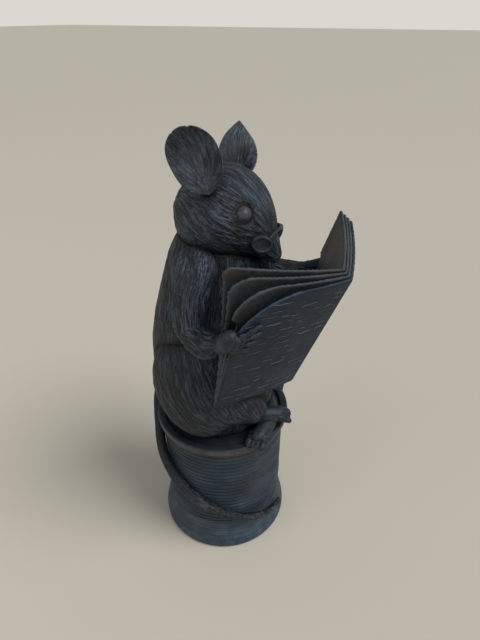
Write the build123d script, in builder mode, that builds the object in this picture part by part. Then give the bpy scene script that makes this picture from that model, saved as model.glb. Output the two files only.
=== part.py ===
"""Mouse ornament: a seated mouse reads a newspaper on a cotton reel. Millimetres.

The origin is the centre of the reel's underside, +Z is up and the mouse faces -Y,
so its right side is at -X. The castings are glued on round pegs in sockets.
"""

import os
from math import atan, cos, pi, radians, sin, sqrt

from build123d import *

os.makedirs("parts", exist_ok=True)

# Sizes of the reel
foot_radius = 31.5
foot_height = 11.5
foot_edge_height = 4.5
foot_edge_round = 1.6
foot_flare_angle = 25.0
thread_diameter = 1.85
thread_gap = 0.48
thread_turns = 22
thread_outer_radius = 28.6
rim_radius = 31.0
rim_thickness = 3.5
rim_round = 1.0
dish_radius = 27.5
dish_depth = 1.4
core_peg_radius = 9.0
core_peg_length = 6.0
dowel_radius = 2.5
dowel_reach = 16.0

# Sizes of the mouse, with spots as (out from the middle, ahead of the axis, above the seat)
body_height = 92.0
body_half_width = 28.5
body_half_depth = 27.5
head_length = 44.8
head_half_width = 19.2
head_half_height = 16.4
head_rear = 15.5
head_rise = 97.4
ear_half_width = 8.7
ear_half_height = 11.8
ear_cup_radius = 15.0
ear_thickness = 1.9
ear_depth = 7.0
eye_radius = 3.1
haunch_half_sizes = (14.5, 20.5, 28.0)
haunch_spot = (19.5, -0.5, 28.2)
thigh_spot = (21.0, 6.0, 22.0)
knee_spot = (15.0, 17.0, 19.5)
ankle_spot = (8.0, 20.0, 12.5)
thigh_radius = 10.0
ankle_radius = 6.5
shoulder_drop = 10.0
upper_arm_drop = 19.0
shoulder_spot = (17.0, 1.0, body_height - shoulder_drop)
upper_arm_spot = (27.0, 3.5, body_height - upper_arm_drop)
elbow_spot = (33.0, 8.2, 62.5)
forearm_spot = (36.2, 18.0, 64.6)
wrist_spot = (38.2, 25.0, 68.6)
left_elbow_drop = 1.0
left_forearm_drop = 4.0
left_wrist_drop = 5.8
shoulder_radius = 8.2
wrist_radius = 3.1
heel_spot = (8.0, 16.5, 9.6)
instep_spot = (5.0, 24.5, 8.9)
toe_spot = (0.8, 29.3, 7.8)
under_heel_spot = (9.0, 16.0, 7.0)
under_instep_spot = (-3.0, 25.4, 4.9)
under_toe_spot = (-14.0, 26.0, 4.2)
heel_radius = 4.6
toe_radius = 1.5
toe_length = 4.2
finger_radius = 1.35
finger_length = 6.6
palm_radius = 3.8
right_grip_height = 40.0
left_grip_height = 34.0
tail_radius = 2.4
tail_tip_radius = 1.2
tail_root_height = 11.0
tail_tip_height = 13.5

# Sizes of the newspaper and the spectacles
page_height = 56.5
page_reach = 41.5
page_foot_reach = 35.5
sheet_thickness = 1.15
sheet_count = 4
paper_rise = 28.4
paper_ahead = 34.3
lens_radius = 2.3
lens_thickness = 1.0
lens_rim_width = 0.8
lens_rim_thickness = 1.7
bridge_radius = 0.65

# Pegs, fits and angles
peg_radius = 2.6
small_peg_radius = 1.3
peg_length = 9.0
neck_peg_depth = 22.5
glue_gap = 0.12
rest_gap = 0.05
cut_overrun = 4.0
head_pitch = 25.0
head_turn = 9.5
head_tilt = 9.0
paper_lean = 20.4
right_page_angle = 62.0
left_page_angle = 70.0
foot_splay = 0.6
right_page_splay = 4.0
left_page_splay = 0.6

# Heights that follow
thread_pitch = thread_diameter + thread_gap
thread_reach = thread_outer_radius - thread_diameter / 2
core_radius = thread_reach - thread_diameter / 2 - rest_gap
core_height = thread_turns * thread_pitch + thread_diameter + 2 * thread_gap
rim_bottom = foot_height + core_height
rim_top = rim_bottom + rim_thickness
seat_height = rim_top - dish_depth
sides = {"right": -1, "left": 1}


def save(piece, name):
    """Names one finished piece and writes it as a STEP file."""
    piece.part.label = name
    export_step(piece.part, f"parts/{name}.step")


def cut_away(neighbours):
    """Cuts every neighbour's form out of the piece being built."""
    for neighbour in neighbours:
        add(neighbour.part, mode=Mode.SUBTRACT)


def peg(start, end, radius, mode=Mode.ADD):
    """A round peg, or with SUBTRACT its socket, between two points."""
    line = Vector(end) - Vector(start)
    with Locations(Plane(origin=start, z_dir=line).location):
        Cylinder(radius, line.length, align=(Align.CENTER, Align.CENTER, Align.MIN), mode=mode)


def rod(start, end, radius):
    """A rod with round ends."""
    peg(start, end, radius)
    with Locations(start, end):
        Sphere(radius)


def limb(points, radii):
    """A tapering limb lofted through circles along a smooth line."""
    with BuildLine() as middle:
        Spline(*points)
    sections = []
    for place, radius in enumerate(radii):
        share = place / (len(radii) - 1)
        with BuildSketch(Plane(origin=middle.line @ share, z_dir=middle.line % share)) as section:
            Circle(radius)
        sections.append(section.sketch.face())
    loft(sections)


# Reel: turned foot, core, thread and dished rim on one dowel
with BuildPart() as reel_foot:
    with BuildSketch(Plane.XZ) as foot_section:
        with BuildLine() as foot_outline:
            underside = Line((0, 0), (foot_radius, 0))
            edge = Line(underside @ 1, (foot_radius, foot_edge_height))
            flare = Spline(
                edge @ 1,
                (thread_outer_radius, foot_height),
                tangents=((-sin(radians(foot_flare_angle)), cos(radians(foot_flare_angle))), (0, 1)),
            )
            Polyline(flare @ 1, (0, foot_height), (0, 0))
        make_face()
        fillet(foot_section.vertices().sort_by(Axis.X)[-2:], foot_edge_round)
    revolve(axis=Axis.Z)
    with Locations((0, 0, foot_height)):
        Cylinder(
            core_peg_radius + glue_gap,
            core_peg_length + glue_gap,
            align=(Align.CENTER, Align.CENTER, Align.MAX),
            mode=Mode.SUBTRACT,
        )
save(reel_foot, "reel_foot")

with BuildPart() as reel_core:
    with Locations((0, 0, foot_height)):
        Cylinder(core_radius, core_height, align=(Align.CENTER, Align.CENTER, Align.MIN))
        Cylinder(core_peg_radius, core_peg_length, align=(Align.CENTER, Align.CENTER, Align.MAX))
    with Locations((0, 0, rim_bottom)):
        Cylinder(
            dowel_radius + glue_gap,
            dowel_reach + glue_gap,
            align=(Align.CENTER, Align.CENTER, Align.MAX),
            mode=Mode.SUBTRACT,
        )
save(reel_core, "reel_core")


def thread_place(turn):
    """Point and direction of the thread's middle line after so many turns."""
    angle = 2 * pi * turn
    height = foot_height + thread_gap + thread_diameter / 2 + thread_pitch * turn
    place = Vector(thread_reach * cos(angle), thread_reach * sin(angle), height)
    rise = thread_pitch / (2 * pi)
    return place, Vector(-thread_reach * sin(angle), thread_reach * cos(angle), rise).normalized()


def arc_pair(start, start_way, end, end_way):
    """Two arcs that meet smoothly and keep the direction at both ends."""
    chord = end - start
    ways = start_way + end_way
    slope = chord.dot(ways)
    spread = 4 - ways.dot(ways)
    reach = ((slope**2 + spread * chord.dot(chord)) ** 0.5 - slope) / spread
    meet = (start + start_way * reach + end - end_way * reach) / 2
    first = TangentArc(start, meet, tangent=start_way)
    TangentArc(meet, end, tangent=first % 1)


with BuildPart() as thread_winding:
    with BuildLine() as thread_path:
        first_place, first_way = thread_place(0)
        Line(first_place - first_way * thread_diameter, first_place)
        for half_turn in range(2 * thread_turns):
            start, start_way = thread_place(half_turn / 2)
            end, end_way = thread_place((half_turn + 1) / 2)
            arc_pair(start, start_way, end, end_way)
        last_place, last_way = thread_place(thread_turns)
        Line(last_place, last_place + last_way * thread_diameter)
    with BuildSketch(Plane(origin=first_place - first_way * thread_diameter, z_dir=first_way)):
        Circle(thread_diameter / 2)
    sweep(path=thread_path.line)
save(thread_winding, "thread_winding")

steps_per_turn = 24
thread_steps = [thread_place(step / steps_per_turn)[0] for step in range(steps_per_turn * thread_turns + 1)]
thread_least = min(
    (thread_steps[low] - thread_steps[high]).length
    for low in range(len(thread_steps))
    for high in range(low + steps_per_turn // 2, min(low + 2 * steps_per_turn, len(thread_steps)))
)
print("least gap of the thread to itself", round(thread_least - thread_diameter, 3))

with BuildPart() as reel_rim:
    with Locations((0, 0, rim_bottom)):
        Cylinder(rim_radius, rim_thickness, align=(Align.CENTER, Align.CENTER, Align.MIN))
    fillet(reel_rim.edges().filter_by(GeomType.CIRCLE), rim_round)
    with Locations((0, 0, seat_height)):
        Cylinder(
            dish_radius, cut_overrun, align=(Align.CENTER, Align.CENTER, Align.MIN), mode=Mode.SUBTRACT
        )
    Cylinder(dowel_radius + glue_gap, 2 * rim_top, mode=Mode.SUBTRACT)
save(reel_rim, "reel_rim")

with BuildPart() as seat_dowel:
    with Locations((0, 0, rim_bottom - dowel_reach)):
        Cylinder(
            dowel_radius,
            2 * dowel_reach + rim_thickness - dish_depth,
            align=(Align.CENTER, Align.CENTER, Align.MIN),
        )
save(seat_dowel, "seat_dowel")

# Newspaper: folded sheets, each nested in the one outside it
paper_plane = Plane(
    origin=(0, -paper_ahead, seat_height + paper_rise),
    x_dir=(1, 0, 0),
    z_dir=(0, -sin(radians(paper_lean)), cos(radians(paper_lean))),
)
paper_face = Plane(origin=paper_plane.origin, x_dir=(1, 0, 0), z_dir=-paper_plane.y_dir)
page_bow_share = 0.03
page_round_shares = (0.34, 0.22, 0.12, 0.05)
page_rise_shares = (0.0, 0.01, 0.02, 0.03)
right_reach_shares = (1.0, 0.95, 0.91, 0.86)
sheet_names = ("outer", "second", "third", "inner")
page_angles = {"right": right_page_angle, "left": left_page_angle}
page_length = (page_reach + cut_overrun) / sin(radians(right_page_angle))
page_bow = page_bow_share * page_length
bow_angle = 2 * atan(2 * page_bow / page_length)


def page_angle(side, sheet, splay):
    """Angle from the middle plane to a page of one sheet."""
    return radians(page_angles[side] - splay * sheet)


def fold_depth(sheet):
    """How far one sheet's fold stands behind the fold of the outer sheet."""
    step = sheet_thickness + rest_gap
    least = [page_angle("right", lower, right_page_splay) for lower in range(sheet)]
    return sum(step / sin(angle + bow_angle) for angle in least)


def sheet_section(sheet, up, right_splay, left_splay):
    """Section of one sheet across its fold, so far up the fold."""
    fold = Vector(0, fold_depth(sheet))
    right_angle = page_angle("right", sheet, right_splay)
    left_angle = page_angle("left", sheet, left_splay)
    right_tip = fold + Vector(-sin(right_angle), cos(right_angle)) * page_length
    left_tip = fold + Vector(sin(left_angle), cos(left_angle)) * page_length
    with BuildSketch(paper_plane.offset(up)) as section:
        with BuildLine():
            SagittaArc(right_tip, fold, -page_bow)
            SagittaArc(fold, left_tip, -page_bow)
            offset(amount=sheet_thickness, side=Side.LEFT)
        make_face()
    return section.sketch.face()


def folded_sheet(sheet):
    """One sheet, its pages fanned at the top and cut to their outline."""
    top = page_height * (1 + page_rise_shares[sheet])
    foot_section = sheet_section(sheet, 0, foot_splay, foot_splay)
    top_section = sheet_section(sheet, top, right_page_splay, left_page_splay)
    with BuildPart() as form:
        loft([foot_section, top_section], ruled=True)
        with BuildSketch(paper_face) as outline:
            with BuildLine():
                Polyline(
                    (page_foot_reach, 0),
                    (page_reach, top),
                    (-right_reach_shares[sheet] * page_reach, top),
                    (-right_reach_shares[sheet] * page_foot_reach, 0),
                    close=True,
                )
            make_face()
            right_corner = outline.vertices().group_by(Axis.Y)[-1].sort_by(Axis.X)[:1]
            fillet(right_corner, page_round_shares[sheet] * page_height)
        extrude(amount=page_height, both=True, mode=Mode.INTERSECT)
    return form


sheets = [folded_sheet(sheet) for sheet in range(sheet_count)]


def page_point(name, out, up, lift):
    """A point on a page's outer face, out from the fold, up it and lifted off the face."""
    angle = page_angle(name, 0, 0)
    share = out / page_length
    away = lift + 4 * page_bow * share * (1 - share)
    across = out * sin(angle) + away * cos(angle)
    deep = out * cos(angle) - away * sin(angle)
    return paper_plane.from_local_coords(Vector(sides[name] * across, deep, up))


# Head frame: X to the mouse's left, Y up over the skull, Z out along the snout
face_way = Vector(0, -cos(radians(head_pitch)), -sin(radians(head_pitch)))
head_plane = Plane(
    origin=(0, 0, seat_height + head_rise),
    x_dir=Vector(1, 0, 0).rotate(Axis((0, 0, 0), face_way), -head_tilt).rotate(Axis.Z, head_turn),
    z_dir=face_way.rotate(Axis.Z, head_turn),
)


def head_point(side, up, along):
    """A point from its place in the head's own frame."""
    return head_plane.from_local_coords(Vector(side, up, along))


def head_share_point(side, shares):
    """A point from shares of the head's half width, half height and length."""
    across_share, up_share, along_share = shares
    return head_point(
        side * across_share * head_half_width, up_share * head_half_height, along_share * head_length
    )


# Shares of the head along its length, half width, half height and middle height
head_shares = (
    (0.004, 0.12, 0.13, -0.14),
    (0.04, 0.42, 0.47, -0.11),
    (0.13, 0.71, 0.80, -0.07),
    (0.29, 0.95, 1.09, -0.01),
    (0.46, 1.02, 1.085, 0.025),
    (0.63, 0.88, 0.87, 0.055),
    (0.77, 0.62, 0.575, 0.03),
    (0.90, 0.38, 0.29, -0.13),
    (0.97, 0.22, 0.16, -0.235),
    (0.996, 0.085, 0.065, -0.26),
)
with BuildPart() as head_form:
    for along_share, width_share, height_share, middle_share in head_shares:
        with BuildSketch(head_plane.offset(along_share * head_length - head_rear)):
            with Locations((0, middle_share * head_half_height)):
                Ellipse(width_share * head_half_width, height_share * head_half_height)
    loft()

# Shares of the torso's height, half width, half depth and shift towards the back
torso_shares = (
    (0.00, 0.78, 0.76, 0.07),
    (0.09, 0.95, 0.93, 0.09),
    (0.245, 1.00, 0.99, 0.10),
    (0.40, 1.00, 0.985, 0.095),
    (0.55, 0.96, 0.94, 0.08),
    (0.68, 0.88, 0.855, 0.05),
    (0.82, 0.77, 0.745, 0.025),
    (0.915, 0.66, 0.645, 0.01),
    (1.00, 0.56, 0.54, -0.02),
)
with BuildPart() as torso_form:
    for height_share, width_share, depth_share, shift_share in torso_shares:
        with BuildSketch(Plane.XY.offset(seat_height + height_share * body_height)):
            with Locations((0, shift_share * body_half_depth)):
                Ellipse(width_share * body_half_width, depth_share * body_half_depth)
    loft()


def spot(side, place):
    """A point of the mouse from a spot given out, ahead and above the seat."""
    out, ahead, above = place
    return Vector(side * out, -ahead, seat_height + above)


# Joints: each peg runs from a point in the outer casting to its end in the inner one
neck_joint = (head_point(0, 0, 0), spot(0, (0, 0, body_height - neck_peg_depth)))
shoulder_joints = {}
hip_joints = {}
ear_joints = {}
for name, side in sides.items():
    arm_root = spot(side, upper_arm_spot)
    shoulder_joints[name] = (arm_root, arm_root + Vector(-side * 2 * peg_length, 0, 0))
    hip = spot(side, haunch_spot) + Vector(side * peg_length, 0, 0)
    hip_joints[name] = (hip, hip - Vector(side * 2 * peg_length, 0, 0))

# Ears: cups cut from a ball, leaning out and back from the skull
ear_spot_shares = {"right": (0.97, 1.07, -0.245), "left": (0.90, 1.14, -0.170)}
ear_lean_shares = {"right": (0.33, 0.66, -0.67), "left": (0.22, 0.80, -0.56)}
ear_open_shares = {"right": (0.93, -0.10, 0.36), "left": (0.93, -0.05, 0.36)}
ear_foot_share = 0.86
ear_side_shares = {
    "right": ((0.72, -0.70), (0.96, -0.20), (0.92, 0.34), (0.60, 0.78), (0.30, 0.953)),
    "left": ((0.74, -0.66), (0.99, -0.28), (0.90, 0.18), (0.50, 0.62)),
}
ear_tip_shares = {"right": (-1.0, 0.0), "left": (-0.72, 0.69)}
ear_root_shares = {"right": (1.0, 0.4), "left": (1.0, 1.0)}


def head_way(side, shares):
    """A direction from its shares in the head's own frame."""
    across_share, up_share, along_share = shares
    return head_point(side * across_share, up_share, along_share) - head_point(0, 0, 0)


def ear_plane(name):
    """Plane of an ear's back: its opening faces along the normal, its tip along Y."""
    side = sides[name]
    lean = head_way(side, ear_lean_shares[name])
    faces = head_way(side, ear_open_shares[name])
    return Plane(origin=head_share_point(side, ear_spot_shares[name]), x_dir=lean.cross(faces), z_dir=faces)


def ear_form(name, joint):
    """One cupped ear with its peg, seated on the skull: the right one round, the left one pointed."""
    plane = ear_plane(name)
    with BuildPart() as form:
        with BuildSketch(plane):
            with BuildLine() as half_outline:
                front = [Vector(x * ear_half_width, y * ear_half_height) for x, y in ear_side_shares[name]]
                tip_way = ear_tip_shares[name]
                Spline((0, -ear_half_height), *front, (0, ear_half_height), tangents=(ear_root_shares[name], tip_way))
                mirror(about=Plane.YZ)
            make_face()
        extrude(amount=ear_depth, both=True)
        with Locations(plane.offset(ear_cup_radius).location):
            Sphere(ear_cup_radius + ear_thickness, mode=Mode.INTERSECT)
            Sphere(ear_cup_radius, mode=Mode.SUBTRACT)
        cut_away([head_form])
        peg(*joint, small_peg_radius)
    return form


ears = {}
for name in sides:
    plane = ear_plane(name)
    ear_foot = plane.from_local_coords(Vector(0, -ear_foot_share * ear_half_height, ear_depth / 2))
    ear_joints[name] = (ear_foot, ear_foot + (head_point(0, 0, 0) - ear_foot).normalized() * peg_length)
    ears[name] = ear_form(name, ear_joints[name])
    save(ears[name], f"ear_{name}")

# Legs: a haunch and a shin in one casting, seated on the torso
ball_shares = (-0.995, -0.93, -0.72, -0.38, 0.0, 0.38, 0.72, 0.93, 0.995)


def haunch(side):
    """An egg-shaped haunch lofted through level ellipses."""
    half_width, half_depth, half_height = haunch_half_sizes
    centre = spot(side, haunch_spot)
    sections = []
    for rise_share in ball_shares:
        shrink = sqrt(1 - rise_share**2)
        level = Plane(origin=centre + Vector(0, 0, rise_share * half_height))
        with BuildSketch(level) as slice_of_haunch:
            Ellipse(shrink * half_width, shrink * half_depth)
        sections.append(slice_of_haunch.sketch.face())
    loft(sections)


def leg_form(side, joint, neighbours):
    """One leg down to the ankle, with the peg that holds it to the torso."""
    with BuildPart() as form:
        shin = [spot(side, place) for place in (thigh_spot, knee_spot, ankle_spot)]
        limb(shin, (thigh_radius, (thigh_radius + ankle_radius) / 2, ankle_radius))
        haunch(side)
        cut_away(neighbours)
        peg(*joint, peg_radius)
    return form


legs = {"right": leg_form(sides["right"], hip_joints["right"], [torso_form, reel_rim])}
legs["left"] = leg_form(sides["left"], hip_joints["left"], [torso_form, reel_rim, legs["right"]])


# Feet: the right foot lies over the left one, so the ankles cross
foot_shares = (1.0, 0.9, 0.75)
toe_place_shares = (-0.66, -0.22, 0.22, 0.66)


def foot_form(side, places, neighbours):
    """One foot from heel to ball, with four toes bent down."""
    heel, instep, toe = [spot(side, place) for place in places]
    onward = (toe - instep).normalized()
    across = onward.cross(Vector(0, 0, 1)).normalized()
    toe_end = onward * toe_length - Vector(0, 0, toe_radius)
    with BuildPart() as form:
        limb((heel, instep, toe), [heel_radius * share for share in foot_shares])
        with Locations(toe):
            Sphere(heel_radius * foot_shares[-1])
        for place_share in toe_place_shares:
            root = toe + across * place_share * heel_radius
            rod(root, root + toe_end, toe_radius)
        cut_away(neighbours)
    return form


under_spots = (under_heel_spot, under_instep_spot, under_toe_spot)
over_spots = (heel_spot, instep_spot, toe_spot)
foot_neighbours = [torso_form, reel_rim, *legs.values()]
under_foot = foot_form(sides["left"], under_spots, foot_neighbours)
over_foot = foot_form(sides["right"], over_spots, [*foot_neighbours, under_foot])
feet = {"right": over_foot, "left": under_foot}
for name in sides:
    save(legs[name], f"leg_{name}")
    save(feet[name], f"foot_{name}")


# Arms and hands: the fingers lie on the outer sheet, the palm meets the edges of the pages
arm_shares = (1.0, 0.9, 0.78, 0.68, 0.6, 0.52, 0.46)
finger_shares = (-1.5, -0.5, 0.5, 1.5)
arm_spots = (shoulder_spot, upper_arm_spot, elbow_spot, forearm_spot, wrist_spot)
arm_drops = {"right": (0, 0, 0, 0, 0), "left": (0, 0, left_elbow_drop, left_forearm_drop, left_wrist_drop)}
grip_heights = {"right": right_grip_height, "left": left_grip_height}
arm_points = {
    name: [spot(side, place) - Vector(0, 0, drop) for place, drop in zip(arm_spots, arm_drops[name])]
    for name, side in sides.items()
}


def arm_form(name, joint, neighbours):
    """One arm from shoulder to wrist, with the peg that holds it to the torso."""
    with BuildPart() as form:
        limb(arm_points[name], [shoulder_radius * share for share in arm_shares])
        cut_away(neighbours)
        peg(*joint, peg_radius)
    return form


def hand_form(name, neighbours):
    """One hand: a palm behind the edge of the page and four fingers over it."""
    grip_height = grip_heights[name]
    reach = page_foot_reach + (page_reach - page_foot_reach) * grip_height / page_height
    edge = reach / sin(page_angle(name, 0, 0)) + finger_radius
    palm = page_point(name, edge, grip_height, -palm_radius)
    with BuildPart() as form:
        with Locations(palm):
            Sphere(palm_radius)
        peg(arm_points[name][-1], palm, wrist_radius)
        for finger_share in finger_shares:
            up = grip_height + 2 * finger_radius * finger_share
            knuckle = page_point(name, edge, up, finger_radius / 2)
            tip = page_point(name, edge - finger_length, up + finger_length / 2, finger_radius - glue_gap)
            rod(palm, knuckle, finger_radius)
            rod(knuckle, tip, finger_radius)
        cut_away(neighbours)
    return form


arms = {}
hands = {}
for name in sides:
    arms[name] = arm_form(name, shoulder_joints[name], [torso_form, head_form, legs[name], sheets[0]])
    hands[name] = hand_form(name, [arms[name], sheets[0]])
    save(arms[name], f"arm_{name}")
    save(hands[name], f"hand_{name}")

# The inner sheets are notched where the limbs pass their edges
save(sheets[0], f"newspaper_{sheet_names[0]}_sheet")
for sheet, name in zip(sheets[1:], sheet_names[1:]):
    with BuildPart() as notched:
        add(sheet.part)
        cut_away([*arms.values(), *hands.values(), *legs.values()])
    save(notched, f"newspaper_{name}_sheet")

# Tail: its root fills a socket in the back, then it runs over the rim and down round the reel
tail_start_angle = 103.0
tail_end_angle = 274.0
tail_fall_power = 1.35
tail_steps = 11
tail_root_share = 0.72
tail_drop_share = 0.55
rim_tail_reach = rim_radius + tail_radius + glue_gap
coil_tail_reach = thread_outer_radius + tail_radius + 2 * glue_gap
tail_points = [
    Vector(0, tail_root_share * body_half_depth, seat_height + tail_root_height),
    Vector(0, rim_tail_reach, seat_height + tail_drop_share * tail_root_height),
]
for step in range(tail_steps):
    share = step / (tail_steps - 1)
    turn = radians(tail_start_angle + (tail_end_angle - tail_start_angle) * share)
    height = tail_tip_height + (rim_bottom - tail_tip_height) * (1 - share) ** tail_fall_power
    reach = rim_tail_reach if step == 0 else coil_tail_reach
    tail_points.append(Vector(reach * cos(turn), reach * sin(turn), height))
tail_even_sections = 14
tail_taper_shares = [step / tail_steps for step in range(1, tail_steps)]
tail_radii = [tail_radius] * tail_even_sections
tail_radii += [tail_radius + (tail_tip_radius - tail_radius) * share for share in tail_taper_shares]
with BuildPart() as tail:
    limb(tail_points, tail_radii)
save(tail, "tail")

# Eyes: balls in round pockets
eye_shares = (0.72, 0.465, 0.24)
eye_spots = {name: head_share_point(side, eye_shares) for name, side in sides.items()}
for name in sides:
    with BuildPart() as eye:
        with Locations(eye_spots[name]):
            Sphere(eye_radius)
    save(eye, f"eye_{name}")

# Spectacles: two rims and a bridge in one piece, low and a little askew on the snout
lens_shares = {"right": (0.547, 0.03, 0.455), "left": (0.44, 0.12, 0.495)}
lens_face_shares = {"right": (0.8, 0.05, 0.6), "left": (0.5, 0.05, 0.86)}
bridge_end_shares = {"right": (0.475, 0.155, 0.500), "left": (0.375, 0.238, 0.533)}
bridge_top_shares = (0.0, 0.315, 0.52)


def lens_plane(name):
    """Plane of one lens, facing out from the snout."""
    side = sides[name]
    faces = head_way(side, lens_face_shares[name])
    return Plane(origin=head_share_point(side, lens_shares[name]), z_dir=faces)


with BuildPart() as spectacle_frame:
    for name in sides:
        with BuildSketch(lens_plane(name)):
            Circle(lens_radius + lens_rim_width)
            Circle(lens_radius, mode=Mode.SUBTRACT)
        extrude(amount=lens_rim_thickness)
    with BuildLine() as bridge_line:
        ThreePointArc(
            head_share_point(sides["right"], bridge_end_shares["right"]),
            head_share_point(0, bridge_top_shares),
            head_share_point(sides["left"], bridge_end_shares["left"]),
        )
    with BuildSketch(Plane(origin=bridge_line.line @ 0, z_dir=bridge_line.line % 0)):
        Circle(bridge_radius)
    sweep(path=bridge_line.line)
    cut_away([head_form])
save(spectacle_frame, "spectacle_frame")

for name in sides:
    with BuildPart() as lens:
        with BuildSketch(lens_plane(name).offset((lens_rim_thickness - lens_thickness) / 2)):
            Circle(lens_radius - rest_gap)
        extrude(amount=lens_thickness)
        cut_away([head_form, spectacle_frame])
    save(lens, f"lens_{name}")

with BuildPart() as head:
    add(head_form.part)
    for name in sides:
        with Locations(Plane(origin=eye_spots[name], z_dir=eye_spots[name] - head_plane.origin).location):
            Sphere(eye_radius + rest_gap, mode=Mode.SUBTRACT)
        peg(*ear_joints[name], small_peg_radius + glue_gap, mode=Mode.SUBTRACT)
    peg(*neck_joint, peg_radius)
save(head, "head")

with BuildPart() as torso:
    add(torso_form.part)
    cut_away([head_form, tail])
    peg(*neck_joint, peg_radius + glue_gap, mode=Mode.SUBTRACT)
    for name in sides:
        peg(*shoulder_joints[name], peg_radius + glue_gap, mode=Mode.SUBTRACT)
        peg(*hip_joints[name], peg_radius + glue_gap, mode=Mode.SUBTRACT)
    with Locations((0, 0, seat_height)):
        Cylinder(
            dowel_radius + glue_gap,
            dowel_reach + glue_gap,
            align=(Align.CENTER, Align.CENTER, Align.MIN),
            mode=Mode.SUBTRACT,
        )
save(torso, "torso")
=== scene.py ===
from math import cos, pi, radians, sin

import bmesh
import bpy
import numpy as np
from mathutils import Matrix, Vector
from mathutils.bvhtree import BVHTree
from mathutils.kdtree import KDTree


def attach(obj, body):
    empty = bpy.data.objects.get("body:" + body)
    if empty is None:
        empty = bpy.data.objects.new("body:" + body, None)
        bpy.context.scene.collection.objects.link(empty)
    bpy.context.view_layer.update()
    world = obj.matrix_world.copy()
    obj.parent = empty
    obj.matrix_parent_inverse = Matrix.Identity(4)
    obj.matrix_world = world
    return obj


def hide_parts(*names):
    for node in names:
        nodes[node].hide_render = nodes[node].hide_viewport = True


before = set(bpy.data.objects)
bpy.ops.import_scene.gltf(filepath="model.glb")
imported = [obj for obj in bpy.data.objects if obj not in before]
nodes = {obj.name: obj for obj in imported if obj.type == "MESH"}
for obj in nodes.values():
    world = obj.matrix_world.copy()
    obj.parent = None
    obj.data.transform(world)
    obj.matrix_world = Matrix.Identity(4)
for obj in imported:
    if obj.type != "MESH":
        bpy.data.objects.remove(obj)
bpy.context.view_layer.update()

# Lengths below are millimetres; meshes go back to metres when they are written.
MM = 0.001
rng = np.random.default_rng(7)


# ---- mesh helpers

def node_arrays(name):
    """Corner points and triangles of one CAD node, in millimetres."""
    mesh = nodes[name].data
    mesh.calc_loop_triangles()
    points = np.empty(len(mesh.vertices) * 3)
    mesh.vertices.foreach_get("co", points)
    faces = np.empty(len(mesh.loop_triangles) * 3, dtype=np.int64)
    mesh.loop_triangles.foreach_get("vertices", faces)
    return points.reshape(-1, 3) / MM, faces.reshape(-1, 3)


def make_mesh(name, points, faces):
    """A Blender mesh from points in millimetres and faces."""
    mesh = bpy.data.meshes.new(name)
    mesh.from_pydata((np.asarray(points) * MM).tolist(), [], np.asarray(faces).tolist())
    mesh.update()
    return mesh


def remeshed(points, faces, voxel):
    """The same closed form with even quads of the given size."""
    mesh = make_mesh("remesh_source", points, faces)
    holder = bpy.data.objects.new("remesh_source", mesh)
    bpy.context.scene.collection.objects.link(holder)
    step = holder.modifiers.new("even", "REMESH")
    step.mode = "VOXEL"
    step.voxel_size = voxel * MM
    bpy.context.view_layer.update()
    result = bpy.data.meshes.new_from_object(holder.evaluated_get(bpy.context.evaluated_depsgraph_get()))
    new_points = np.empty(len(result.vertices) * 3)
    result.vertices.foreach_get("co", new_points)
    corners = np.empty(len(result.loops), dtype=np.int64)
    result.loops.foreach_get("vertex_index", corners)
    starts = np.empty(len(result.polygons), dtype=np.int64)
    result.polygons.foreach_get("loop_start", starts)
    sizes = np.empty(len(result.polygons), dtype=np.int64)
    result.polygons.foreach_get("loop_total", sizes)
    quads = starts[sizes == 4]
    new_faces = np.stack([corners[quads + i] for i in range(4)], axis=1)
    bpy.data.objects.remove(holder)
    bpy.data.meshes.remove(mesh)
    bpy.data.meshes.remove(result)
    return new_points.reshape(-1, 3) / MM, new_faces


def edge_pairs(faces):
    """Each edge of the faces once in both directions."""
    ring = np.concatenate([np.stack([faces[:, i], faces[:, (i + 1) % faces.shape[1]]], 1) for i in range(faces.shape[1])])
    return np.concatenate([ring, ring[:, ::-1]])


def neighbour_mean(values, pairs, count):
    """Mean of each point's neighbours."""
    weight = np.maximum(np.bincount(pairs[:, 0], minlength=count), 1)
    sums = [np.bincount(pairs[:, 0], values[pairs[:, 1], i], minlength=count) for i in range(values.shape[1])]
    return np.stack(sums, 1) / weight[:, None]


def smoothed(points, faces, rounds, share=0.5, back=-0.52):
    """Smooths ripples without shrinking the form."""
    pairs = edge_pairs(faces)
    points = points.copy()
    for _ in range(rounds):
        for amount in (share, back):
            if amount:
                points += amount * (neighbour_mean(points, pairs, len(points)) - points)
    return points


def normals_of(points, faces):
    """Unit normals at the points."""
    a, b, c = (points[faces[:, i]] for i in (0, 1, 2))
    flat = np.cross(b - a, c - a)
    if faces.shape[1] == 4:
        d = points[faces[:, 3]]
        flat = np.cross(c - a, d - b)
    total = np.zeros_like(points)
    for i in range(faces.shape[1]):
        for axis in range(3):
            total[:, axis] += np.bincount(faces[:, i], flat[:, axis], minlength=len(points))
    return total / np.maximum(np.linalg.norm(total, axis=1, keepdims=True), 1e-12)


def unit(values):
    """The same directions at length one."""
    values = np.asarray(values, dtype=float)
    return values / np.maximum(np.linalg.norm(values, axis=-1, keepdims=True), 1e-9)


def lattice_noise(points, size, seed):
    """Smooth noise from -1 to 1 with lumps of the given size."""
    table = np.random.default_rng(seed).uniform(-1, 1, 4096)
    at = points / size
    base = np.floor(at).astype(np.int64)
    part = at - base
    part = part * part * (3 - 2 * part)
    total = np.zeros(len(points))
    for corner in range(8):
        step = np.array([corner & 1, corner >> 1 & 1, corner >> 2 & 1])
        cell = base + step
        key = (cell[:, 0] * 73856093 ^ cell[:, 1] * 19349663 ^ cell[:, 2] * 83492791) & 4095
        weight = np.prod(np.where(step, part, 1 - part), axis=1)
        total += table[key] * weight
    return total


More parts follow.
